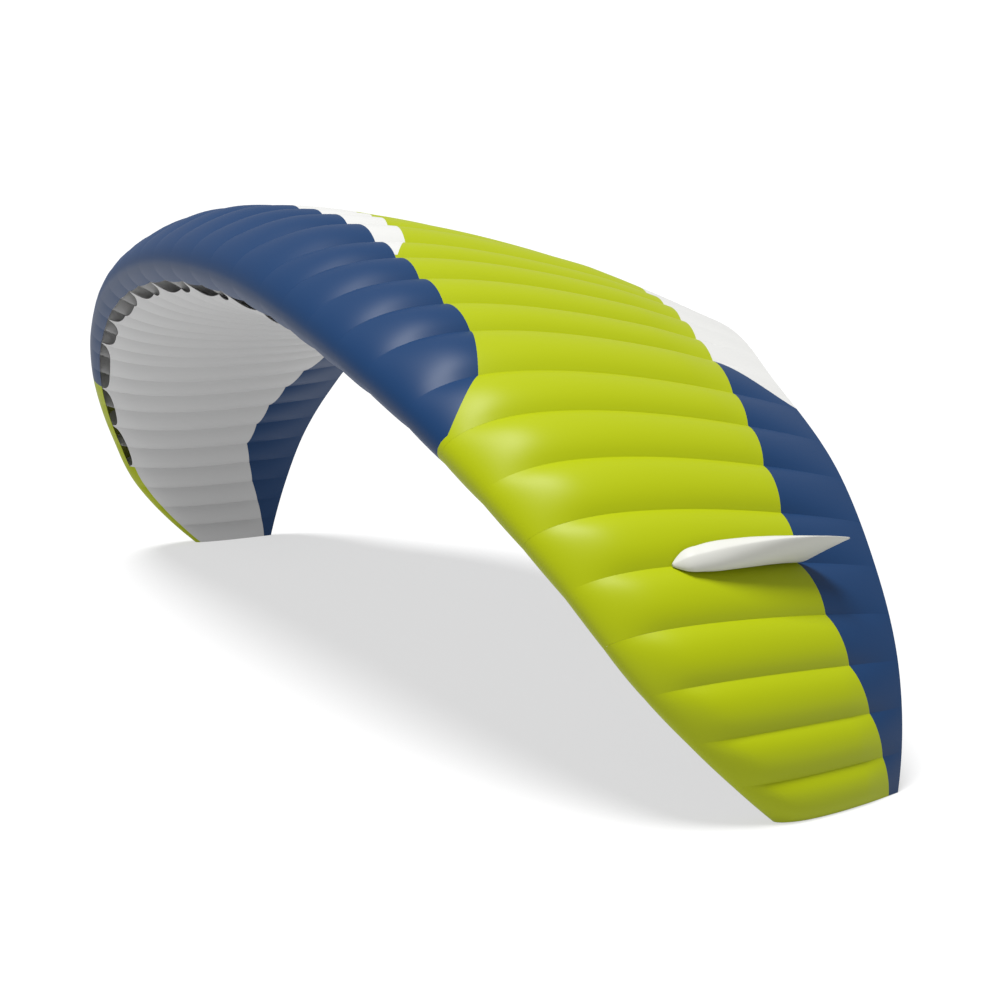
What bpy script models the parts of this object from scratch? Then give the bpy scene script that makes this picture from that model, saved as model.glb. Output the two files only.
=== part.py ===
"""Paraglider wing: a ram-air canopy of 38 cells, inflated, standing on its two tip ribs.

The frame is in metres: X runs along the span, from the left tip to the right tip, Y runs along the chord
with the leading edge towards -Y, and Z is up. The origin is the middle of the bottom of the wing's box.

Every sheet is worked out from one surface, skin_point(). A place on it is a span share, from -1 at the left
tip to 1 at the right tip, and a chord share, positive on the upper side and negative on the lower side.
"""

import bpy
import numpy as np
from mathutils import Matrix, Vector

# ---- driving sizes, in metres ----
HALF_SPAN = 5.5  # along the arch, from the middle to a tip
CELLS = 38
CLOTH = 0.002  # thickness of the upper panels and the tips
LOWER_CLOTH = 0.003
RIB_CLOTH = 0.001
RIB_INSET = 0.0045  # from a panel's outer side to a rib's edge
GAP = 0.0003  # between two pieces that are sewn together
SEAM_GAP = 0.0008  # between two panels that end on the same rib
TAIL_DEPTH = 0.007  # depth of the wing at its trailing edge

# The wing's plan. setback: how far the nose lies behind the middle's nose. lean_deg: how far the arch leans
# over. twist_deg: how far the nose is turned down.
PLAN = (
    # share, setback, chord, lean_deg, twist_deg
    (0.00, 0.000, 2.872, 0.0, 7.4),
    (0.20, 0.030, 2.866, 7.5, 7.5),
    (0.40, 0.104, 2.566, 18.1, 5.4),
    (0.56, 0.219, 2.162, 24.5, 4.2),
    (0.70, 0.383, 1.891, 37.5, 4.3),
    (0.80, 0.563, 1.615, 50.2, 4.5),
    (0.90, 0.814, 1.271, 67.4, 4.3),
    (1.00, 1.300, 0.660, 90.0, 4.5),
)

# The wing's section: NACA four-digit thickness on a camber line.
DEPTH_MIDDLE = 0.198  # deepest, as a share of the chord, in the middle of the span
DEPTH_TIP = 0.172
CAMBER = 0.0135
CAMBER_PLACE = 0.20

# Cell widths along the arch in millimetres, from a tip to the middle, the same on both halves.
CELL_WIDTHS = (
    *(174, 193, 212, 228, 246, 259, 279, 286, 288, 355),
    *(285, 297, 294, 272, 386, 359, 333, 373, 382),
)
BULGE = 0.115  # crown of a cell between its ribs, as a share of the cell's width
LOWER_BULGE = 0.11
NOSE_BULGE = 0.15  # share of a cell's crown that is left at the nose
FULL_BULGE = 0.16  # chord share where the crown is full

# Ribs whose lower panels run forward to the nose, as tongues between the air intakes.
TONGUE_RIBS = (4, 6, 8, 11, 13, 16, 18, 20, 22, 25, 27, 30, 32, 34)
# Tongue ribs where one lower panel ends and the next begins.
LOWER_JOINS = (4, 8, 11, 13, 16, 22, 25, 27, 30, 34)
LIP = 0.029  # chord share of the intake's upper lip, on the lower side
SCOOP = 0.034  # how much further back the intake's lower lip is, halfway between two tongues

# Chord shares of the panels' rows. Negative ones are on the lower side.
NOSE_ROWS = (-LIP, -0.010, 0.0, 0.010, 0.036)
TOP_ROWS = (0.09, 0.17, 0.29, 0.46, 0.70, 1.0)
LOWER_ROW_STEPS = (0.0, 0.10, 0.34, 0.66, 1.0)
TIP_LOWER_ROWS = tuple(-LIP - SEAM_GAP - (1 - LIP - SEAM_GAP) * step for step in LOWER_ROW_STEPS[:0:-1])
UPPER_COLUMNS = 3  # to a cell
LOWER_COLUMNS = 2
RIB_TAIL = 0.85  # how far a rib reaches into the last row of the panels

# Winglets: stuffed fins on the seam over the fifth rib from each tip, cut across along the chord.
WINGLET_RIB = 5
WINGLET_LIFT = 0.003  # of its foot above the seam it stands on
WINGLET_CORNERS = 10
WINGLET_SECTIONS = (
    # along: behind the rib's nose, foot and top: above the seam, width
    (0.42, 0.000, 0.015, 0.015),
    (0.46, 0.000, 0.055, 0.080),
    (0.55, 0.000, 0.095, 0.120),
    (0.72, 0.000, 0.150, 0.125),
    (0.92, 0.000, 0.195, 0.095),
    (1.10, 0.000, 0.215, 0.055),
    (1.19, 0.115, 0.218, 0.030),
    (1.27, 0.205, 0.215, 0.008),
)

LIME = (0.48, 0.57, 0.015, 1.0)
BLUE = (0.026, 0.076, 0.216, 1.0)
GREY = (0.40, 0.40, 0.40, 1.0)
WHITE = (0.84, 0.84, 0.82, 1.0)


def smooth(places, values, place):
    """Cubic curve through a table: between two rows it takes the slopes that the rows around them give."""
    places = np.asarray(places, float)
    values = np.asarray(values, float)
    step = np.diff(places)
    rise = np.diff(values) / step
    slope = np.empty_like(values)
    slope[1:-1] = (rise[:-1] * step[1:] + rise[1:] * step[:-1]) / (step[:-1] + step[1:])
    slope[0] = 2 * rise[0] - slope[1]
    slope[-1] = 2 * rise[-1] - slope[-2]
    row = np.clip(np.searchsorted(places, place) - 1, 0, len(places) - 2)
    u = (place - places[row]) / step[row]
    return (
        (2 * u**3 - 3 * u**2 + 1) * values[row]
        + (u**3 - 2 * u**2 + u) * step[row] * slope[row]
        + (3 * u**2 - 2 * u**3) * values[row + 1]
        + (u**3 - u**2) * step[row] * slope[row + 1]
    )


def plan_column(column, odd=False):
    """One column of PLAN for both halves of the wing, mirrored, or turned about the middle if odd."""
    table = np.array(PLAN)
    half = table[:, column]
    share = np.r_[-table[:0:-1, 0], table[:, 0]]
    values = np.r_[-half[:0:-1] if odd else half[:0:-1], half]
    return share, values


def make_arch(steps=800):
    """Share, X and Z of the nose line, by adding up short steps along the leaning arch."""
    share = np.linspace(-1.0, 1.0, steps + 1)
    lean = np.radians(smooth(*plan_column(3, odd=True), share))
    length = HALF_SPAN * 2.0 / steps
    x = np.r_[0.0, np.cumsum(np.cos((lean[1:] + lean[:-1]) / 2)) * length]
    z = np.r_[0.0, np.cumsum(-np.sin((lean[1:] + lean[:-1]) / 2)) * length]
    return share, x - x[steps // 2], z - z[0]


ARCH_SHARE, ARCH_X, ARCH_Z = make_arch()


def rib_shares():
    """Span share of each rib, rib 0 at the left tip."""
    place = np.r_[0.0, np.cumsum(CELL_WIDTHS + CELL_WIDTHS[::-1])]
    return 2.0 * place / place[-1] - 1.0


RIB_SHARE = rib_shares()
CELL_WIDTH = np.diff(RIB_SHARE) * HALF_SPAN


def section(share, chord_share):
    """Height of the section above its chord, as a share of it, with the rear edge left TAIL_DEPTH deep."""
    depth = DEPTH_MIDDLE + (DEPTH_TIP - DEPTH_MIDDLE) * share**2
    back = np.abs(chord_share)
    half = 5 * depth * (
        0.2969 * np.sqrt(back) - 0.1260 * back - 0.3516 * back**2 + 0.2843 * back**3 - 0.1036 * back**4
    )
    half = half + TAIL_DEPTH / 2 * back / smooth(*plan_column(2), share)
    front_camber = CAMBER / CAMBER_PLACE**2 * (2 * CAMBER_PLACE * back - back**2)
    back_camber = (1 - 2 * CAMBER_PLACE) + 2 * CAMBER_PLACE * back - back**2
    back_camber = CAMBER / (1 - CAMBER_PLACE) ** 2 * back_camber
    camber = np.where(back < CAMBER_PLACE, front_camber, back_camber)
    return camber + np.where(chord_share < 0, -half, half)


def skin_point(share, chord_share, crown=0.0):
    """Places on the wing's skin, raised by crown, a height in metres, away from the section's chord."""
    share, chord_share, crown = np.broadcast_arrays(*map(np.asarray, (share, chord_share, crown)))
    share = share.astype(float)
    chord = smooth(*plan_column(2), share)
    lean = np.radians(smooth(*plan_column(3, odd=True), share))
    twist = np.radians(smooth(*plan_column(4), share))
    back = np.abs(chord_share) * chord
    high = section(share, chord_share) * chord + crown * np.where(chord_share < 0, -1.0, 1.0)
    along = back * np.cos(twist) + high * np.sin(twist)
    out = high * np.cos(twist) - back * np.sin(twist)
    x = np.interp(share, ARCH_SHARE, ARCH_X) + out * np.sin(lean)
    z = np.interp(share, ARCH_SHARE, ARCH_Z) + out * np.cos(lean)
    y = smooth(*plan_column(1), share) + along
    return np.stack([x, y, z], axis=-1)


# The wing stands on its tip ribs: the lowest place of the tips is the floor, the box's middle is the origin.
EDGE_ROWS = np.linspace(-1.0, 1.0, 81)
TIP_EDGE = skin_point(1.0, EDGE_ROWS)
SPAN_ROWS = skin_point(np.linspace(-1, 1, 81)[:, None], EDGE_ROWS[None])
MIDDLE_Y = (SPAN_ROWS[..., 1].min() + SPAN_ROWS[..., 1].max()) / 2
FLOOR_Z = TIP_EDGE[:, 2].min() - RIB_CLOTH - GAP + SEAM_GAP / 2
ORIGIN = np.array([0.0, MIDDLE_Y, FLOOR_Z])


def material(name, colour, roughness):
    made = bpy.data.materials.new(name)
    made.use_nodes = True
    shader = made.node_tree.nodes["Principled BSDF"]
    shader.inputs["Base Color"].default_value = colour
    shader.inputs["Roughness"].default_value = roughness
    shader.inputs["Metallic"].default_value = 0.0
    return made


def add_sheet(name, points, made_of, collection, thickness=CLOTH):
    """A cut sheet: a loft through unlike sections, points[column, row], thickened on its inner side."""
    columns, rows = points.shape[:2]
    corner = np.arange(columns * rows).reshape(columns, rows)
    faces = np.stack([corner[:-1, :-1], corner[1:, :-1], corner[1:, 1:], corner[:-1, 1:]], axis=-1)
    mesh = bpy.data.meshes.new(name)
    mesh.from_pydata((points.reshape(-1, 3) - ORIGIN).tolist(), [], faces.reshape(-1, 4).tolist())
    mesh.materials.append(made_of)
    mesh.shade_smooth()
    sheet = bpy.data.objects.new(name, mesh)
    collection.objects.link(sheet)
    shell = sheet.modifiers.new("cloth", "SOLIDIFY")
    shell.thickness = thickness
    shell.offset = -1.0
    shell.use_even_offset = True
    return sheet


def panel_columns(first_rib, last_rib, per_cell):
    """Span share and crown share of each column of a panel that runs from one rib to another."""
    step = np.arange((last_rib - first_rib) * per_cell + 1) / per_cell
    share = np.interp(step + first_rib, np.arange(CELLS + 1), RIB_SHARE)
    width = CELL_WIDTH[np.clip((step + first_rib).astype(int), 0, CELLS - 1)]
    crown = np.sin(np.pi * (step % 1.0)) * width
    return share, crown


def trimmed(share):
    """The same columns with the first and the last drawn in, to leave the seam gap beside the next panel."""
    drawn_in = share.copy()
    drawn_in[0] += SEAM_GAP / 2 / HALF_SPAN
    drawn_in[-1] -= SEAM_GAP / 2 / HALF_SPAN
    return drawn_in


def crown_along(chord_share):
    """How much of a cell's crown shows at each row: little at the nose and none at the trailing edge."""
    back = np.abs(chord_share)
    rise = np.sin(np.pi / 2 * np.clip(back / FULL_BULGE, 0, 1))
    return (NOSE_BULGE + (1 - NOSE_BULGE) * rise) * np.clip((1 - back) / 0.30, 0, 1)


def add_upper(name, first_rib, last_rib, rows, made_of, collection):
    share, crown = panel_columns(first_rib, last_rib, UPPER_COLUMNS)
    rows = np.array(rows)[None, :]
    amount = np.where(rows > -2 * LIP, BULGE, LOWER_BULGE)
    points = skin_point(trimmed(share)[:, None], rows, crown[:, None] * amount * crown_along(rows))
    return add_sheet(name, points, made_of, collection)


def lower_lip(share):
    """Chord share of the lower panels' front edge: at the nose on a tongue, scooped back between two."""
    tongues = RIB_SHARE[list(TONGUE_RIBS)]
    gate = np.clip(np.searchsorted(tongues, share) - 1, 0, len(tongues) - 2)
    across = np.clip(2 * (share - tongues[gate]) / (tongues[gate + 1] - tongues[gate]) - 1, -1, 1)
    return LIP + SEAM_GAP + SCOOP * (1 - np.abs(across) ** 3) ** (1 / 2)


def add_lower(name, first_rib, last_rib, made_of, collection):
    share, crown = panel_columns(first_rib, last_rib, LOWER_COLUMNS)
    front = lower_lip(share)[:, None]
    rows = front + (1 - front) * np.array(LOWER_ROW_STEPS)[None]
    crown = crown[:, None] * LOWER_BULGE * crown_along(rows)
    points = skin_point(trimmed(share)[:, None], -rows, crown)
    return add_sheet(name, points[:, ::-1], made_of, collection, LOWER_CLOTH)


def section_line(share, rows):
    """Places of rows on one section, in its own plane: chordwise and outwards, from its nose."""
    chord = smooth(*plan_column(2), share)
    return np.stack([np.abs(rows), section(np.full(rows.shape, share), rows)], axis=-1) * chord


def inset(outline, distance):
    """A closed outline, corner by corner, moved inwards by distance. It runs anticlockwise."""
    before = outline - np.roll(outline, 1, axis=0)
    after = np.roll(outline, -1, axis=0) - outline
    left = []
    for side in (before, after):
        inwards = np.stack([-side[:, 1], side[:, 0]], axis=-1)
        left.append(inwards / np.linalg.norm(side, axis=1)[:, None])
    share = distance / (1 + (left[0] * left[1]).sum(axis=1))
    return outline + (left[0] + left[1]) * share[:, None]


def rib_outline(rib):
    """A rib's cut outline in its own plane: chordwise and outwards, from the nose line, inside the skins."""
    share = RIB_SHARE[rib]
    if rib in (0, CELLS):
        return section_line(share, np.array(TIP_LOWER_ROWS + NOSE_ROWS + TOP_ROWS)[::-1])
    lip = lower_lip(np.array([share]))[0]
    below = section_line(share, -lip - (1 - lip) * np.array(LOWER_ROW_STEPS))
    above = section_line(share, np.array(TOP_ROWS[::-1] + NOSE_ROWS[::-1]))
    below[-1] = below[-2] + (below[-1] - below[-2]) * RIB_TAIL
    above[0] = above[1] + (above[0] - above[1]) * RIB_TAIL
    return inset(np.concatenate([below, above]), RIB_INSET)


def add_rib(rib, made_of, collection):
    """A rib is a flat outline, cut from cloth and set across the wing."""
    name = f"rib_{rib:02d}"
    share = RIB_SHARE[rib]
    outline = rib_outline(rib)
    drawing = bpy.data.curves.new(name, "CURVE")
    drawing.dimensions = "2D"
    drawing.fill_mode = "BOTH"
    drawing.extrude = RIB_CLOTH / 2
    line = drawing.splines.new("POLY")
    line.points.add(len(outline) - 1)
    line.points.foreach_set("co", np.c_[outline, np.zeros(len(outline)), np.ones(len(outline))].ravel())
    line.use_cyclic_u = True
    drawing.materials.append(made_of)
    sheet = bpy.data.objects.new(name, drawing)
    collection.objects.link(sheet)
    lean = np.radians(smooth(*plan_column(3, odd=True), share))
    twist = np.radians(smooth(*plan_column(4), share))
    out = Vector((np.sin(lean), 0.0, np.cos(lean)))
    chordwise = Vector((0.0, np.cos(twist), 0.0)) - out * np.sin(twist)
    upwards = out * np.cos(twist) + Vector((0.0, np.sin(twist), 0.0))
    across = chordwise.cross(upwards)
    place = Vector(skin_point(share, 0.0) - ORIGIN)
    if rib in (0, CELLS):
        place += across * (RIB_CLOTH / 2 + GAP - SEAM_GAP / 2) * (-1 if rib == 0 else 1)
    turn = Matrix((chordwise, upwards, across)).transposed().to_4x4()
    sheet.matrix_world = Matrix.Translation(place) @ turn
    return sheet


def add_winglet(name, rib, made_of, collection):
    """A stuffed fin: a loft of pointed sections along the seam, from its foot's front to its raked tip."""
    share = RIB_SHARE[rib]
    chord = smooth(*plan_column(2), share)
    lean = np.radians(smooth(*plan_column(3, odd=True), share))
    out = np.array([np.sin(lean), 0.0, np.cos(lean)])
    side = np.array([np.cos(lean), 0.0, -np.sin(lean)])
    along, foot, top, width = np.array(WINGLET_SECTIONS).T[:, :, None]
    turn = np.linspace(0, 2 * np.pi, WINGLET_CORNERS, endpoint=False)[None]
    up = (1 - np.cos(turn)) / 2
    high = foot + (top - foot) * up
    wide = width / 2 * np.sin(turn) * np.abs(np.sin(turn)) ** 0.5
    rings = skin_point(share, along / chord + 0 * up, WINGLET_LIFT)
    rings = rings + high[..., None] * out + wide[..., None] * side - ORIGIN
    corner = np.arange(rings.shape[0] * WINGLET_CORNERS).reshape(-1, WINGLET_CORNERS)
    beside = np.roll(corner, -1, axis=1)
    faces = np.stack([corner[:-1], corner[1:], beside[1:], beside[:-1]], axis=-1).reshape(-1, 4).tolist()
    faces += [corner[0].tolist(), corner[-1, ::-1].tolist()]
    mesh = bpy.data.meshes.new(name)
    mesh.from_pydata(rings.reshape(-1, 3).tolist(), [], faces)
    mesh.materials.append(made_of)
    fin = bpy.data.objects.new(name, mesh)
    collection.objects.link(fin)
    return fin


def main():
    for old in list(bpy.data.objects):
        bpy.data.objects.remove(old)
    wing = bpy.data.collections.new("paraglider_wing")
    bpy.context.scene.collection.children.link(wing)
    lime = material("lime_ripstop", LIME, 0.42)
    blue = material("blue_ripstop", BLUE, 0.42)
    grey = material("grey_ripstop", GREY, 0.5)
    white = material("white_ripstop", WHITE, 0.45)

    upper_rows = NOSE_ROWS + TOP_ROWS
    for number, (first, last) in enumerate(zip(TONGUE_RIBS[:-1], TONGUE_RIBS[1:]), start=1):
        outboard = first < 8 or last > CELLS - 8
        add_upper(f"upper_{number:02d}", first, last, upper_rows, lime if outboard else blue, wing)
    sleeve_rows = TIP_LOWER_ROWS + upper_rows
    add_upper("tip_left", 0, TONGUE_RIBS[0], sleeve_rows, lime, wing)
    add_upper("tip_right", TONGUE_RIBS[-1], CELLS, sleeve_rows, lime, wing)
    for number, (first, last) in enumerate(zip(LOWER_JOINS[:-1], LOWER_JOINS[1:]), start=1):
        add_lower(f"lower_{number:02d}", first, last, grey, wing)
    for rib in (0, *range(TONGUE_RIBS[0], TONGUE_RIBS[-1] + 1), CELLS):
        add_rib(rib, white, wing)
    add_winglet("winglet_left", WINGLET_RIB, white, wing)
    add_winglet("winglet_right", CELLS - WINGLET_RIB, white, wing)


main()
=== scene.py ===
"""A paraglider wing, inflated: panels, ribs, wing tips and winglets, dressed over its CAD frame.

Every sheet comes from one surface, WingShape.point(). A place on it is a span share, from -1 at the left
tip to 1 at the right tip, and a chord share, positive on the upper side and negative on the lower side.
"""

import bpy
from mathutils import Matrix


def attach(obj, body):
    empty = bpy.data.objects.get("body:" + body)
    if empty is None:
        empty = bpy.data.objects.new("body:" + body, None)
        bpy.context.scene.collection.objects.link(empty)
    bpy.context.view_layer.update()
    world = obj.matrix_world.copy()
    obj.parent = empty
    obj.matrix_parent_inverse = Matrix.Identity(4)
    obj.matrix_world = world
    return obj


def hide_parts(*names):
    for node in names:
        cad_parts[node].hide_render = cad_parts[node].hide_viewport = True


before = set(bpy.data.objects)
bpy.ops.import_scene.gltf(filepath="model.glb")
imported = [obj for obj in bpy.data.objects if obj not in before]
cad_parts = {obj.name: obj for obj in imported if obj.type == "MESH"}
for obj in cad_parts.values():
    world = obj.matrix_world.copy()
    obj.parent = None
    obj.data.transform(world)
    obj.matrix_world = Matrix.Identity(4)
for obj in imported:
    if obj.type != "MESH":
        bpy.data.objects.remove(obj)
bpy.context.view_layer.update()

import logging
import math
from dataclasses import dataclass, field
from enum import Enum
from typing import Sequence

import bpy
import numpy as np
from mathutils import Matrix, Vector

LOG = logging.getLogger("paraglider_wing")

MM = 0.001
HALF_SPAN = 5.5  # along the arch, from the middle to a tip
CELLS = 38
ARCH_STEPS = 800  # short steps that the arch is added up from
BOX_PLACES = 81  # places each way at which the wing's box is measured
UPPER_CLOTH = 2 * MM
LOWER_CLOTH = 3 * MM
RIB_CLOTH = 1 * MM
SEAM_GAP = 0.8 * MM
TAIL_DEPTH = 7 * MM
DEPTH_MIDDLE = 0.198  # deepest, as a share of the chord, in the middle of the span
DEPTH_TIP = 0.172
CAMBER = 0.0135
CAMBER_PLACE = 0.20
# Cell widths in millimetres, from a tip to the middle, the same on both halves.
CELL_WIDTHS = (
    *(174, 193, 212, 228, 246, 259, 279, 286, 288, 355),
    *(285, 297, 294, 272, 386, 359, 333, 373, 382),
)
TONGUE_RIBS = (4, 6, 8, 11, 13, 16, 18, 20, 22, 25, 27, 30, 32, 34)
LOWER_JOINS = (4, 8, 11, 13, 16, 22, 25, 27, 30, 34)
LIP = 0.029  # chord share of the upper lip of an intake, on the lower side
SCOOP = 0.034  # how much further back the lower lip is, halfway between two tongues
WINGLET_RIB = 5
COLUMNS_PER_CELL = 10
CROWN = 0.13  # height of a blown cell over its ribs, as a share of its width
LOWER_CROWN = 0.12
CROWN_ROUNDNESS = 2.2  # 2 is a parabola across the cell, and more is flatter on top
TAIL_FLAT = 0.30  # chord share ahead of the trailing edge where the crown fades out
NOSE_CROWN = 0.06  # share of the crown that is left at the nose
FULL_CROWN = 0.16  # chord share where the crown is full
CROWN_RAMP = 1.4  # over 1, the crown rises more slowly behind the nose
SEWN_GAP = 0.4 * MM  # between two panels on one rib
UP = Vector((0.0, 0.0, 1.0))


def srgb(text: str) -> tuple[float, float, float, float]:
    """Turn a hex colour into the linear one that a shader socket takes.

    Args:
        text: Six hex digits.

    Returns:
        Linear red, green, blue and alpha.
    """
    parts = [int(text[place : place + 2], 16) / 255 for place in (0, 2, 4)]
    linear = [part / 12.92 if part <= 0.04045 else ((part + 0.055) / 1.055) ** 2.4 for part in parts]
    return (linear[0], linear[1], linear[2], 1.0)


class Held(Enum):
    """How a sheet is held in its shape."""

    BLOWN = "stretched"


@dataclass(frozen=True)
class Dye:
    """One colour of cloth.

    Args:
        name: What a sail maker calls it; not used.
        colour: Its hex colour.
    """

    name: str
    colour: str


LIME = Dye("lime", "929D00")
BLUE = Dye("blue", "0F3056")
WHITE = Dye("white", "BEBEBC")
GREY = Dye("grey", "B2B2B2")
# Painted shade: the winglet's white cloth is a little darker than the white bands, to keep its shaded side
# dark.
FIN_WHITE_PAINTED_DARKER = Dye("winglet white", "BABAB4")
# Painted light: the inner side and the ribs are coloured paler than the cloth, to stand in for the light that
# comes through the thin cloth into the cells.
LIME_LINING_PAINTED_LIGHTER = Dye("lime lining", "A8AC50")
PALE_INSIDE_PAINTED_LIGHTER = Dye("inside", "D8D8D8")


@dataclass(frozen=True)
class Weave:
    """The finish of coated ripstop cloth.

    Args:
        roughness: How dull the coating is.
        gloss: How much of the light the coating mirrors.
    """

    roughness: float = 0.45
    gloss: float = 0.17


PLAN = np.array(
    (
        # share, setback, chord, lean_deg, twist_deg
        (0.00, 0.000, 2.872, 0.0, 7.4),
        (0.20, 0.030, 2.866, 7.5, 7.5),
        (0.40, 0.104, 2.566, 18.1, 5.4),
        (0.56, 0.219, 2.162, 24.5, 4.2),
        (0.70, 0.383, 1.891, 37.5, 4.3),
        (0.80, 0.563, 1.615, 50.2, 4.5),
        (0.90, 0.814, 1.271, 67.4, 4.3),
        (1.00, 1.300, 0.660, 90.0, 4.5),
    )
)
WINGLET_LIFT = 3 * MM  # of its foot above the seam it stands on
WINGLET_GRID = (60, 36)  # sections along it, and places round each
FRONT_CROWDING = 1.3  # over 1, rows and sections stand closer together at the front
LOWER_CROWDING = 1.4
LOWER_ROWS = 40
WINGLET_SECTIONS = np.array(
    (
        # along: behind the rib's nose, foot and top: above the seam, width
        (0.42, 0.000, 0.015, 0.015),
        (0.46, 0.000, 0.055, 0.080),
        (0.55, 0.000, 0.095, 0.120),
        (0.72, 0.000, 0.150, 0.125),
        (0.92, 0.000, 0.195, 0.095),
        (1.10, 0.000, 0.215, 0.055),
        (1.19, 0.115, 0.218, 0.030),
        (1.27, 0.205, 0.215, 0.008),
    )
)
# Colour blocks: chord shares at ribs counted from the nearer tip.
TAIL_BAND = np.array(((0, 0.902), (3, 0.753), (5, 0.686), (7, 0.735), (9, 0.805), (10, 0.828), (19, 0.828)))
NOSE_BAND = np.array(((8, 0.0), (9, 0.1475), (10, 0.2175), (19, 0.2175)))
WHITE_BAND = np.array(((13, 0.0), (14, 0.06), (19, 0.16)))  # its depth behind the nose band
WHITE_TAIL_RIB = 10


def smooth(places: np.ndarray, values: np.ndarray, place: np.ndarray) -> np.ndarray:
    """Read a cubic curve through a table, with the slopes that the rows around give.

    Args:
        places: The table's places, rising.
        values: Its values.
        place: Where to read it.

    Returns:
        The curve's values.
    """
    step = np.diff(places)
    rise = np.diff(values) / step
    slope = np.empty_like(values)
    slope[1:-1] = (rise[:-1] * step[1:] + rise[1:] * step[:-1]) / (step[:-1] + step[1:])
    slope[0] = 2 * rise[0] - slope[1]
    slope[-1] = 2 * rise[-1] - slope[-2]
    row = np.clip(np.searchsorted(places, place) - 1, 0, len(places) - 2)
    u = (place - places[row]) / step[row]
    return (
        (2 * u**3 - 3 * u**2 + 1) * values[row]
        + (u**3 - 2 * u**2 + u) * step[row] * slope[row]
        + (3 * u**2 - 2 * u**3) * values[row + 1]
        + (u**3 - u**2) * step[row] * slope[row + 1]
    )


class WingShape:
    """The surface that every piece of the wing is cut from."""

    def __init__(self) -> None:
        """Work out the arch, the ribs' places and the origin."""
        self.arch_share = np.linspace(-1.0, 1.0, ARCH_STEPS + 1)
        lean = np.radians(self.lean_deg(self.arch_share))
        length = HALF_SPAN * 2.0 / ARCH_STEPS
        middle = (lean[1:] + lean[:-1]) / 2
        arch_x = np.r_[0.0, np.cumsum(np.cos(middle)) * length]
        arch_z = np.r_[0.0, np.cumsum(-np.sin(middle)) * length]
        self.arch_x = arch_x - arch_x[ARCH_STEPS // 2]
        self.arch_z = arch_z
        place = np.r_[0.0, np.cumsum(CELL_WIDTHS + CELL_WIDTHS[::-1])]
        self.rib_share = 2.0 * place / place[-1] - 1.0
        self.cell_width = np.diff(self.rib_share) * HALF_SPAN
        rows = np.linspace(-1.0, 1.0, BOX_PLACES)
        all_of_it = self.raw(rows[:, None], rows[None], 0.0)
        tip = self.raw(1.0, rows, 0.0)
        middle_y = (all_of_it[..., 1].min() + all_of_it[..., 1].max()) / 2
        self.origin = np.array([0.0, middle_y, tip[:, 2].min() - RIB_CLOTH - 0.3 * MM + SEAM_GAP / 2])

    def column(self, number: int, share: np.ndarray, odd: bool = False) -> np.ndarray:
        """Read one column of the plan.

        Args:
            number: Which column.
            share: Span shares.
            odd: Whether the column changes sign on the left half.

        Returns:
            The column's values.
        """
        half = PLAN[:, number]
        places = np.r_[-PLAN[:0:-1, 0], PLAN[:, 0]]
        values = np.r_[-half[:0:-1] if odd else half[:0:-1], half]
        return smooth(places, values, np.asarray(share, float))

    def lean_deg(self, share: np.ndarray) -> np.ndarray:
        """How far the arch leans over at each span share.

        Args:
            share: Span shares.

        Returns:
            Degrees, positive towards the right tip.
        """
        return self.column(3, share, odd=True)

    def section(self, share: np.ndarray, row: np.ndarray) -> np.ndarray:
        """Height over the chord as a share of it: four-digit thickness on a middle line of two parabolas.

        Args:
            share: Span shares.
            row: Signed chord shares.

        Returns:
            Heights, negative on the lower side.
        """
        depth = DEPTH_MIDDLE + (DEPTH_TIP - DEPTH_MIDDLE) * share**2
        back = np.abs(row)
        half = 0.2969 * np.sqrt(back) - 0.1260 * back - 0.3516 * back**2 + 0.2843 * back**3 - 0.1036 * back**4
        half = 5 * depth * half + TAIL_DEPTH / 2 * back / self.column(2, share)
        front = CAMBER / CAMBER_PLACE**2 * (2 * CAMBER_PLACE * back - back**2)
        rear = (1 - 2 * CAMBER_PLACE) + 2 * CAMBER_PLACE * back - back**2
        rear = CAMBER / (1 - CAMBER_PLACE) ** 2 * rear
        return np.where(back < CAMBER_PLACE, front, rear) + np.where(row < 0, -half, half)

    def raw(self, share: np.ndarray, row: np.ndarray, crown: np.ndarray) -> np.ndarray:
        """Places on the skin before the origin is taken off.

        Args:
            share: Span shares.
            row: Signed chord shares.
            crown: Metres away from the chord.

        Returns:
            Points, one for each share, row and crown.
        """
        share, row, crown = np.broadcast_arrays(*map(np.asarray, (share, row, crown)))
        share = share.astype(float)
        chord = self.column(2, share)
        lean = np.radians(self.lean_deg(share))
        twist = np.radians(self.column(4, share))
        back = np.abs(row) * chord
        high = self.section(share, row) * chord + crown * np.where(row < 0, -1.0, 1.0)
        along = back * np.cos(twist) + high * np.sin(twist)
        out = high * np.cos(twist) - back * np.sin(twist)
        x = np.interp(share, self.arch_share, self.arch_x) + out * np.sin(lean)
        z = np.interp(share, self.arch_share, self.arch_z) + out * np.cos(lean)
        return np.stack([x, self.column(1, share) + along, z], axis=-1)

    def point(self, share: np.ndarray, row: np.ndarray, crown: np.ndarray = 0.0) -> np.ndarray:
        """Places on the skin in the part's own frame.

        Args:
            share: Span shares.
            row: Signed chord shares.
            crown: Metres away from the chord.

        Returns:
            Points, one for each share, row and crown.
        """
        return self.raw(share, row, crown) - self.origin

    def lower_lip(self, share: np.ndarray) -> np.ndarray:
        """Front edge of the lower panels: at the nose on a tongue, scooped back between two.

        Args:
            share: Span shares.

        Returns:
            Chord shares.
        """
        tongues = self.rib_share[list(TONGUE_RIBS)]
        gate = np.clip(np.searchsorted(tongues, share) - 1, 0, len(tongues) - 2)
        across = np.clip(2 * (share - tongues[gate]) / (tongues[gate + 1] - tongues[gate]) - 1, -1, 1)
        return LIP + SEAM_GAP + SCOOP * np.sqrt(1 - np.abs(across) ** 3)


SHAPE = WingShape()


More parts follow.
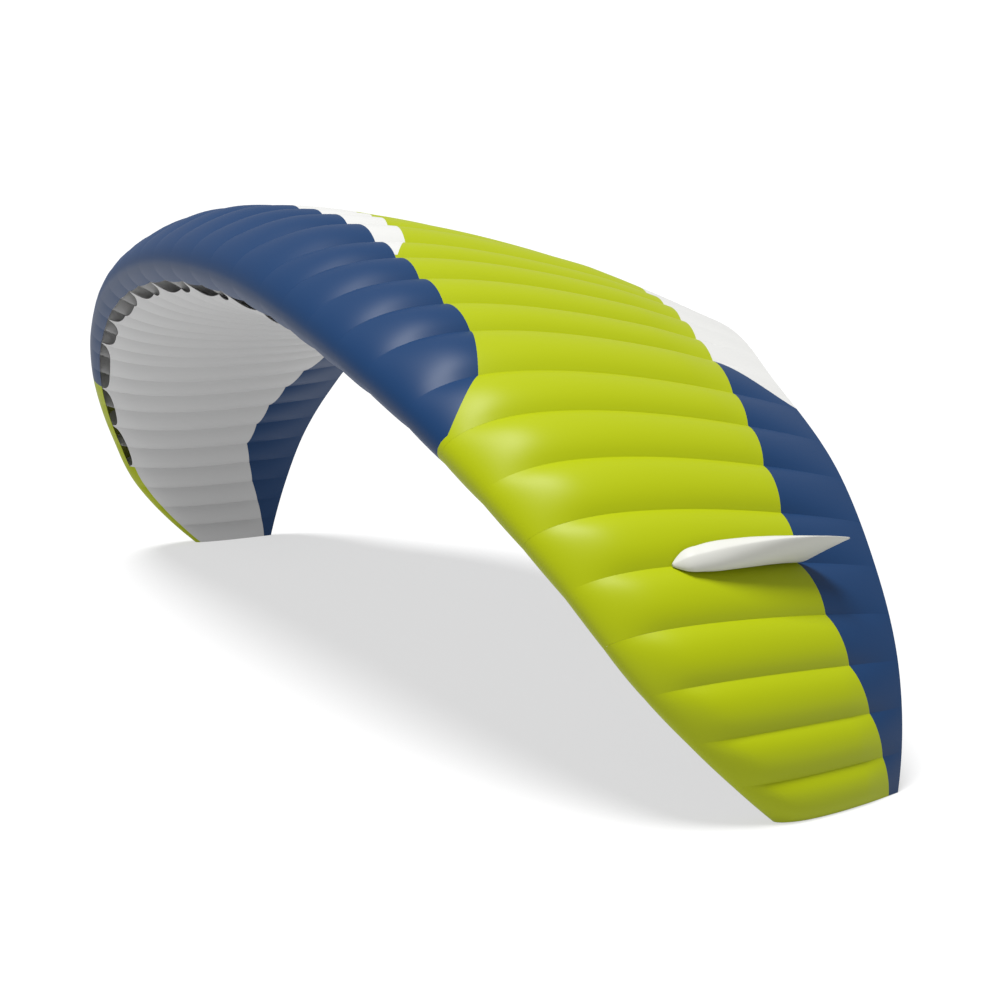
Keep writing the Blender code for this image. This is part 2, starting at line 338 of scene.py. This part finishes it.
def add_node(nodes: bpy.types.Nodes, kind: str, **settings: object) -> bpy.types.Node:
    """Add a shader node and set its properties.

    Args:
        nodes: The tree's nodes.
        kind: The node's type.
        settings: Properties to set.

    Returns:
        The node.
    """
    node = nodes.new(kind)
    for name, value in settings.items():
        setattr(node, name, value)
    return node


def cloth_material(name: str, dyes: Sequence[tuple[Dye, str]], weave: Weave = Weave()) -> bpy.types.Material:
    """Make a ripstop cloth whose colour blocks are cut by attributes.

    Args:
        name: The material's name.
        dyes: The ground colour first, then each block with the attribute that is positive where it lies.
        weave: The finish.

    Returns:
        The material.
    """
    made = bpy.data.materials.new(name)
    made.use_nodes = True
    nodes, links = made.node_tree.nodes, made.node_tree.links
    shader = nodes["Principled BSDF"]
    shader.inputs["Roughness"].default_value = weave.roughness
    shader.inputs["Specular IOR Level"].default_value = weave.gloss
    shader.inputs["Base Color"].default_value = srgb(dyes[0][0].colour)
    last = None
    for dye, attribute in dyes[1:]:
        where = add_node(nodes, "ShaderNodeAttribute", attribute_name=attribute)
        step = add_node(nodes, "ShaderNodeMath", operation="GREATER_THAN")
        step.inputs[1].default_value = 0.0
        mix = add_node(nodes, "ShaderNodeMix", data_type="RGBA")
        links.new(where.outputs["Fac"], step.inputs[0])
        links.new(step.outputs[0], mix.inputs["Factor"])
        mix.inputs["A"].default_value = srgb(dyes[0][0].colour)
        mix.inputs["B"].default_value = srgb(dye.colour)
        if last:
            links.new(last.outputs["Result"], mix.inputs["A"])
        last = mix
    if last:
        links.new(last.outputs["Result"], shader.inputs["Base Color"])
    return made


@dataclass
class Sheet:
    """One cut sheet, built on a grid of span shares and chord shares.

    Args:
        node: The CAD node that it replaces.
        slot: The record's material slot; not used.
        material: Its cloth.
        thickness: Of the cloth.
        lining: What its inner side looks like: painted paler than the cloth, as painted light that stands in
            for the light coming through it.
    """

    node: str
    slot: str
    material: bpy.types.Material
    thickness: float = UPPER_CLOTH
    lining: bpy.types.Material | None = None
    piece: bpy.types.Object = field(init=False, default=None)

    def build(self, points: np.ndarray, attributes: dict[str, np.ndarray]) -> bpy.types.Object:
        """Loft the sheet and give it its thickness on the inner side.

        Args:
            points: Grid of places, column by row.
            attributes: Values at each place, by name.

        Returns:
            The piece.
        """
        columns, rows = points.shape[:2]
        corner = np.arange(columns * rows).reshape(columns, rows)
        faces = np.stack([corner[:-1, :-1], corner[1:, :-1], corner[1:, 1:], corner[:-1, 1:]], axis=-1)
        mesh = bpy.data.meshes.new(self.node)
        mesh.from_pydata(points.reshape(-1, 3).tolist(), [], faces.reshape(-1, 4).tolist())
        for name, values in attributes.items():
            layer = mesh.attributes.new(name, "FLOAT", "POINT")
            layer.data.foreach_set("value", np.ascontiguousarray(values, dtype=np.float32).ravel())
        mesh.shade_smooth()
        self.crease(mesh, rows)
        mesh.materials.append(self.material)
        self.piece = bpy.data.objects.new(f"{self.node}_cloth", mesh)
        bpy.context.scene.collection.objects.link(self.piece)
        shell = self.piece.modifiers.new("cloth", "SOLIDIFY")
        shell.thickness = self.thickness
        shell.offset = -1.0
        if self.lining:
            mesh.materials.append(self.lining)
            shell.material_offset = 1
        return self.piece

    def crease(self, mesh: bpy.types.Mesh, rows: int) -> None:
        """Mark the seams over the ribs and the cut edges as sharp, where the cloth turns at its stitches.

        Args:
            mesh: The sheet's mesh.
            rows: Places to a column.
        """
        ends = np.empty(len(mesh.edges) * 2, dtype=np.int32)
        mesh.edges.foreach_get("vertices", ends)
        column, row = np.divmod(ends.reshape(-1, 2), rows)
        on_seam = (column[:, 0] == column[:, 1]) & (column[:, 0] % COLUMNS_PER_CELL == 0)
        on_edge = (row[:, 0] == row[:, 1]) & ((row[:, 0] == 0) | (row[:, 0] == rows - 1))
        layer = mesh.attributes.new("sharp_edge", "BOOLEAN", "EDGE")
        layer.data.foreach_set("value", on_seam | on_edge)

    def dress(self, points: np.ndarray, rests_on: Sequence[str]) -> None:
        """Tie the piece to the frame and declare its flat size.

        Args:
            points: The grid that it was built on.
            rests_on: What it is sewn to; not used.
        """
        across = np.linalg.norm(np.diff(points, axis=0), axis=-1)
        along = np.linalg.norm(np.diff(points, axis=1), axis=-1)
        width, length = across.sum(axis=0), along.sum(axis=1)
        area = float((across[:, :-1] * along[:-1]).sum())
        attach(self.piece, "root")
        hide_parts(self.node)
        flat = (float(width.max()), float(length.max()))
        area = min(max(area, 0.31 * flat[0] * flat[1]), flat[0] * flat[1])
        LOG.info("%s sewn from a flat piece of %.2f by %.2f m", self.node, *flat)


def columns_of(first_rib: int, last_rib: int, per_cell: int) -> tuple[np.ndarray, np.ndarray, np.ndarray]:
    """Span shares, crown heights and rib numbers of a panel's columns.

    Args:
        first_rib: Where the panel begins.
        last_rib: Where it ends.
        per_cell: Columns to a cell.

    Returns:
        Shares, crown heights in metres for a crown of 1, and rib numbers.
    """
    rib = first_rib + np.arange((last_rib - first_rib) * per_cell + 1) / per_cell
    share = np.interp(rib, np.arange(CELLS + 1), SHAPE.rib_share)
    width = SHAPE.cell_width[np.clip(rib.astype(int), 0, CELLS - 1)]
    crown = (1.0 - np.abs(2.0 * (rib % 1.0) - 1.0) ** CROWN_ROUNDNESS) * width
    return share, crown, rib


def drawn_in(share: np.ndarray) -> np.ndarray:
    """Draw the first and last column in by half the seam gap.

    Args:
        share: The columns' span shares.

    Returns:
        The drawn-in shares.
    """
    out = share.copy()
    out[0] += SEWN_GAP / 2 / HALF_SPAN
    out[-1] -= SEWN_GAP / 2 / HALF_SPAN
    return out


def crown_along(row: np.ndarray) -> np.ndarray:
    """How much of a cell's crown shows at each row.

    Args:
        row: Signed chord shares.

    Returns:
        Shares of the crown: little at the nose and none at the trailing edge.
    """
    back = np.abs(row)
    rise = np.sin(np.pi / 2 * np.clip(back / FULL_CROWN, 0, 1)) ** CROWN_RAMP
    return (NOSE_CROWN + (1 - NOSE_CROWN) * rise) * np.clip((1 - back) / TAIL_FLAT, 0, 1)


def upper_blocks(share: np.ndarray, rib: np.ndarray, row: np.ndarray) -> dict[str, np.ndarray]:
    """Where each colour block of the upper side lies: positive inside it.

    Args:
        share: Span share of each place.
        rib: Rib number of each place.
        row: Signed chord share of each place.

    Returns:
        Attributes by name.
    """
    tip = np.minimum(rib, CELLS - rib)
    tail = np.interp(tip, TAIL_BAND[:, 0], TAIL_BAND[:, 1])
    tail_band = np.where(row > 0, row - tail, -1.0)
    lower_tail = np.where(row < 0, -row - tail, -1.0)
    nose = np.interp(tip, NOSE_BAND[:, 0], NOSE_BAND[:, 1])
    nose_band = np.where(tip > NOSE_BAND[0, 0], nose - np.maximum(row, 0.0), -1.0)
    white_depth = np.interp(tip, WHITE_BAND[:, 0], WHITE_BAND[:, 1])
    white_band = np.where(tip > WHITE_BAND[0, 0], nose + white_depth - row, -1.0)
    # The white tail's outer border crosses one cell, from its own rib in front to the next outboard behind.
    white_tail = np.minimum(tail_band, tip - WHITE_TAIL_RIB + np.clip(tail_band / (1 - tail), 0, 1))
    return {
        "tail_band": np.maximum(tail_band, lower_tail),
        "white_tail": white_tail,
        "under": -row - 2 * LIP,
        "white_band": white_band,
        "nose_band": nose_band,
    }


NOSE_ROWS = (-LIP, -0.018, -0.009, -0.003, 0.0, 0.003, 0.009, 0.018, 0.03, 0.045, 0.065)
UPPER_ROWS = np.r_[NOSE_ROWS, np.linspace(0.09, 1.0, 60)]


@dataclass
class Winglet:
    """A stuffed fin that stands on the seam over one rib.

    Args:
        node: The CAD node that it replaces.
        rib: Its rib.
        material: Its cloth.
    """

    node: str
    rib: int
    material: bpy.types.Material
    piece: bpy.types.Object = field(init=False, default=None)

    def build(self) -> None:
        """Loft pointed oval sections along the seam, from the foot's front to the raked tip."""
        share = SHAPE.rib_share[self.rib]
        chord = SHAPE.column(2, share)
        lean = np.radians(SHAPE.lean_deg(share))
        out = np.array([np.sin(lean), 0.0, np.cos(lean)])
        side = np.array([np.cos(lean), 0.0, -np.sin(lean)])
        stations, around = WINGLET_GRID
        first, last = WINGLET_SECTIONS[0, 0], WINGLET_SECTIONS[-1, 0]
        along = first + (last - first) * np.linspace(0, 1, stations) ** FRONT_CROWDING
        foot = np.interp(along, WINGLET_SECTIONS[:, 0], WINGLET_SECTIONS[:, 1])
        top = smooth(WINGLET_SECTIONS[:, 0], WINGLET_SECTIONS[:, 2], along)
        width = smooth(WINGLET_SECTIONS[:, 0], WINGLET_SECTIONS[:, 3], along)
        turn = np.linspace(0, 2 * np.pi, around, endpoint=False)[None]
        high = foot[:, None] + (top - foot)[:, None] * (1 - np.cos(turn)) / 2
        wide = width[:, None] / 2 * np.sin(turn) * np.abs(np.sin(turn)) ** 0.5
        rings = SHAPE.point(share, along[:, None] / chord + 0 * turn, WINGLET_LIFT)
        rings = rings + high[..., None] * out + wide[..., None] * side
        corner = np.arange(stations * around).reshape(stations, around)
        beside = np.roll(corner, -1, axis=1)
        faces = np.stack([corner[:-1], corner[1:], beside[1:], beside[:-1]], axis=-1).reshape(-1, 4).tolist()
        faces += [corner[0].tolist(), corner[-1, ::-1].tolist()]
        mesh = bpy.data.meshes.new(self.node)
        mesh.from_pydata(rings.reshape(-1, 3).tolist(), [], faces)
        mesh.shade_smooth()
        mesh.materials.append(self.material)
        self.piece = bpy.data.objects.new(f"{self.node}_cloth", mesh)
        bpy.context.scene.collection.objects.link(self.piece)

    def dress(self) -> None:
        """Tie the piece to the frame and declare that it is stuffed with air."""
        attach(self.piece, "root")
        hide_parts(self.node)
        LOG.info("%s stuffed and sewn over rib %d", self.node, self.rib)


@dataclass
class Rib:
    """A flat rib, cut to the section, that stands between the upper and the lower panels.

    Args:
        rib: Its number, 0 at the left tip.
        material: Its cloth.
    """

    rib: int
    material: bpy.types.Material
    piece: bpy.types.Object = field(init=False, default=None)

    def build(self) -> None:
        """Take the cut outline from the CAD node."""
        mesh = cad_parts[self.node].data.copy()
        mesh.materials.clear()
        mesh.materials.append(self.material)
        self.piece = bpy.data.objects.new(f"{self.node}_cloth", mesh)
        bpy.context.scene.collection.objects.link(self.piece)

    @property
    def node(self) -> str:
        """Name of the CAD node that it replaces."""
        return f"rib_{self.rib:02d}"

    @property
    def panel(self) -> str:
        """Name of the upper panel or the tip that it is sewn to."""
        if self.rib <= TONGUE_RIBS[0]:
            return "tip_left"
        if self.rib >= TONGUE_RIBS[-1]:
            return "tip_right"
        return f"upper_{sum(self.rib > tongue for tongue in TONGUE_RIBS):02d}"

    def dress(self) -> None:
        """Tie the piece to the frame."""
        share = SHAPE.rib_share[self.rib]
        lean = math.radians(float(SHAPE.lean_deg(share)))
        twist = math.radians(float(SHAPE.column(4, share)))
        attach(self.piece, "root")
        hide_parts(self.node)


class Wing:
    """The whole wing: sews every piece on its frame."""

    def __init__(self) -> None:
        """Lay out the cloths."""
        blocks = [(BLUE, "tail_band"), (WHITE, "white_tail"), (WHITE, "white_band"), (BLUE, "nose_band")]
        # Silicone-coated nylon ripstop: even colour, a soft wide highlight along each blown cell.
        self.upper = cloth_material("coated_nylon_ripstop_upper", [(LIME, ""), *blocks])
        tip_blocks = [(GREY, "under"), (BLUE, "tail_band")]
        self.tip = cloth_material("coated_nylon_ripstop_tip", [(LIME, ""), *tip_blocks])
        # The same cloth, undyed: a pale grey that takes its shading from the cells' crowns.
        self.lower = cloth_material("coated_nylon_ripstop_lower", [(GREY, ""), (BLUE, "tail_band")])
        # The coated inner side, painted paler than the cloth: painted light that stands in for the light
        # coming through the thin cloth into the cells.
        lining = [(LIME_LINING_PAINTED_LIGHTER, ""), (PALE_INSIDE_PAINTED_LIGHTER, "nose_band"), (PALE_INSIDE_PAINTED_LIGHTER, "under")]
        self.lining = cloth_material("coated_nylon_ripstop_inner_side", lining)
        # Resin-stiffened ripstop: a rib looks flat and white through an intake. Its pale grey is painted
        # lighter than the cloth, as painted light that stands in for the light inside the cells.
        self.rib = cloth_material("resin_stiffened_ripstop_rib", [(PALE_INSIDE_PAINTED_LIGHTER, "")])
        # The winglet's white cloth, painted a little darker as painted shade.
        self.fin = cloth_material("coated_nylon_ripstop_winglet", [(FIN_WHITE_PAINTED_DARKER, "")])

    def sew_upper(
        self, node: str, first: int, last: int, rows: np.ndarray, slot: str, cloth: bpy.types.Material
    ) -> None:
        """Sew one upper panel or one tip sleeve.

        Args:
            node: Its CAD node.
            first: Its first rib.
            last: Its last rib.
            rows: Its rows' signed chord shares.
            slot: The record's slot.
            cloth: Its material.
        """
        share, crown, rib = columns_of(first, last, COLUMNS_PER_CELL)
        row = rows[None, :]
        amount = np.where(row > -2 * LIP, CROWN, LOWER_CROWN)
        points = SHAPE.point(drawn_in(share)[:, None], row, crown[:, None] * amount * crown_along(row))
        grids = np.broadcast_arrays(share[:, None], rib[:, None], row)
        sheet = Sheet(node, slot, cloth, lining=self.lining)
        sheet.build(points, upper_blocks(*grids))
        sheet.dress(points, [f"rib_{first:02d}"])

    def sew_lower(self, node: str, first: int, last: int) -> None:
        """Sew one lower panel.

        Args:
            node: Its CAD node.
            first: Its first rib.
            last: Its last rib.
        """
        share, crown, rib = columns_of(first, last, COLUMNS_PER_CELL)
        front = SHAPE.lower_lip(share)[:, None]
        row = front + (1 - front) * (np.linspace(0, 1, LOWER_ROWS) ** LOWER_CROWDING)[None]
        crown = crown[:, None] * LOWER_CROWN * crown_along(row)
        points = SHAPE.point(drawn_in(share)[:, None], -row, crown)[:, ::-1]
        tip = np.minimum(rib, CELLS - rib)[:, None]
        tail = np.interp(tip, TAIL_BAND[:, 0], TAIL_BAND[:, 1])
        sheet = Sheet(node, "grey_cloth", self.lower, LOWER_CLOTH)
        sheet.build(points, {"tail_band": (row - tail)[:, ::-1]})
        sheet.dress(points, [f"rib_{first:02d}"])

    def build(self) -> None:
        """Sew every piece."""
        for number, (first, last) in enumerate(zip(TONGUE_RIBS[:-1], TONGUE_RIBS[1:]), start=1):
            slot = "lime_cloth" if first < 8 or last > CELLS - 8 else "blue_cloth"
            self.sew_upper(f"upper_{number:02d}", first, last, UPPER_ROWS, slot, self.upper)
        lower_rows = -(LIP + SEAM_GAP + (1 - LIP - SEAM_GAP) * np.linspace(1, 0.02, 30))
        sleeve = np.r_[lower_rows, UPPER_ROWS]
        self.sew_upper("tip_left", 0, TONGUE_RIBS[0], sleeve, "lime_cloth", self.tip)
        self.sew_upper("tip_right", TONGUE_RIBS[-1], CELLS, sleeve, "lime_cloth", self.tip)
        for number, (first, last) in enumerate(zip(LOWER_JOINS[:-1], LOWER_JOINS[1:]), start=1):
            self.sew_lower(f"lower_{number:02d}", first, last)
        for rib in (0, *range(TONGUE_RIBS[0], TONGUE_RIBS[-1] + 1), CELLS):
            web = Rib(rib, self.rib)
            web.build()
            web.dress()
        for node, rib in (("winglet_left", WINGLET_RIB), ("winglet_right", CELLS - WINGLET_RIB)):
            winglet = Winglet(node, rib, self.fin)
            winglet.build()
            winglet.dress()


@dataclass
class Studio:
    """Floor, lights and camera.

    Args:
        floor_reach: From the middle of the floor to its edges.
        floor_glow: Light that the pale floor gives, so that it stays white.
        fill: Strength of the soft light from all around.
        backdrop: Strength of the white behind the wing.
        sun_strength: Of the main light.
        sun_softness_deg: How wide the main light is.
        sun_lean_deg: How far it leans from straight above, about X and Y.
        aim_from_nose: The camera's target, from the highest nose.
        turn: The camera's turn about Z, in radians.
        rise: Its height over the target, in radians.
        roll: Its roll, in radians.
        distance: From the target.
        lens_widths: Focal length in widths of the frame.
        sensor_mm: Width of the frame.
    """

    floor_reach: float = 400.0
    floor_glow: float = 0.6
    fill: float = 0.45
    backdrop: float = 1.1
    sun_strength: float = 4.9
    sun_softness_deg: float = 22.0
    sun_lean_deg: tuple[float, float] = (12.0, 8.0)
    aim_from_nose: tuple[float, float, float] = (0.1712, 2.0871, -1.6116)
    turn: float = 1.1438
    rise: float = 0.1365
    roll: float = -0.0422
    distance: float = 11.2628
    lens_widths: float = 1.76966
    sensor_mm: float = 36.0

    def build(self) -> None:
        """Set up the floor, the lights and the camera."""
        self.lay_floor()
        self.light()
        self.aim()

    def lay_floor(self) -> None:
        """Lay a plain pale floor."""
        ground = bpy.data.materials.new("studio_floor")
        ground.use_nodes = True
        paint = ground.node_tree.nodes["Principled BSDF"]
        paint.inputs["Base Color"].default_value = srgb("898989")
        paint.inputs["Specular IOR Level"].default_value = 0.0
        paint.inputs["Emission Color"].default_value = srgb("FFFFFF")
        paint.inputs["Emission Strength"].default_value = self.floor_glow
        mesh = bpy.data.meshes.new("floor")
        square = ((-1, -1), (1, -1), (1, 1), (-1, 1))
        corners = [(x * self.floor_reach, y * self.floor_reach, 0) for x, y in square]
        mesh.from_pydata(corners, [], [(0, 1, 2, 3)])
        mesh.materials.append(ground)
        floor = bpy.data.objects.new("studio_floor", mesh)
        bpy.context.scene.collection.objects.link(floor)

    def light(self) -> None:
        """Light the wing with a soft sun and an even fill, in front of a white backdrop."""
        world = bpy.data.worlds.new("studio")
        world.use_nodes = True
        nodes, links = world.node_tree.nodes, world.node_tree.links
        soft = nodes["Background"]
        soft.inputs["Color"].default_value = srgb("FFFFFF")
        soft.inputs["Strength"].default_value = self.fill
        backdrop = add_node(nodes, "ShaderNodeBackground")
        backdrop.inputs["Color"].default_value = srgb("FFFFFF")
        backdrop.inputs["Strength"].default_value = self.backdrop
        seen = add_node(nodes, "ShaderNodeLightPath")
        either = add_node(nodes, "ShaderNodeMixShader")
        links.new(seen.outputs["Is Camera Ray"], either.inputs["Fac"])
        links.new(soft.outputs[0], either.inputs[1])
        links.new(backdrop.outputs[0], either.inputs[2])
        links.new(either.outputs[0], nodes["World Output"].inputs["Surface"])
        bpy.context.scene.world = world
        bpy.context.scene.view_settings.view_transform = "Standard"
        sun = bpy.data.lights.new("soft_sun", "SUN")
        sun.energy = self.sun_strength
        sun.angle = math.radians(self.sun_softness_deg)
        lamp = bpy.data.objects.new("soft_sun", sun)
        lamp.rotation_euler = (*(math.radians(lean) for lean in self.sun_lean_deg), 0.0)
        bpy.context.scene.collection.objects.link(lamp)

    def aim(self) -> None:
        """Set the camera at its viewing angle."""
        level = math.cos(self.rise)
        toward = Vector((-math.sin(self.turn) * level, math.cos(self.turn) * level, -math.sin(self.rise)))
        target = Vector(self.aim_from_nose) + UP * float(SHAPE.arch_z.max()) - Vector(SHAPE.origin)
        right = toward.cross(UP).normalized()
        up = right.cross(toward)
        right_rolled = right * math.cos(self.roll) + up * math.sin(self.roll)
        up_rolled = up * math.cos(self.roll) - right * math.sin(self.roll)
        data = bpy.data.cameras.new("camera")
        data.sensor_width = self.sensor_mm
        data.lens = self.lens_widths * self.sensor_mm
        camera = bpy.data.objects.new("camera", data)
        turned = Matrix((right_rolled, up_rolled, -toward)).transposed().to_4x4()
        camera.matrix_world = Matrix.Translation(target - toward * self.distance) @ turned
        bpy.context.scene.collection.objects.link(camera)
        bpy.context.scene.camera = camera


def main() -> None:
    """Build the wing and its studio."""
    logging.basicConfig(level=logging.INFO)
    Wing().build()
    Studio().build()


if __name__ == "__main__":
    main()
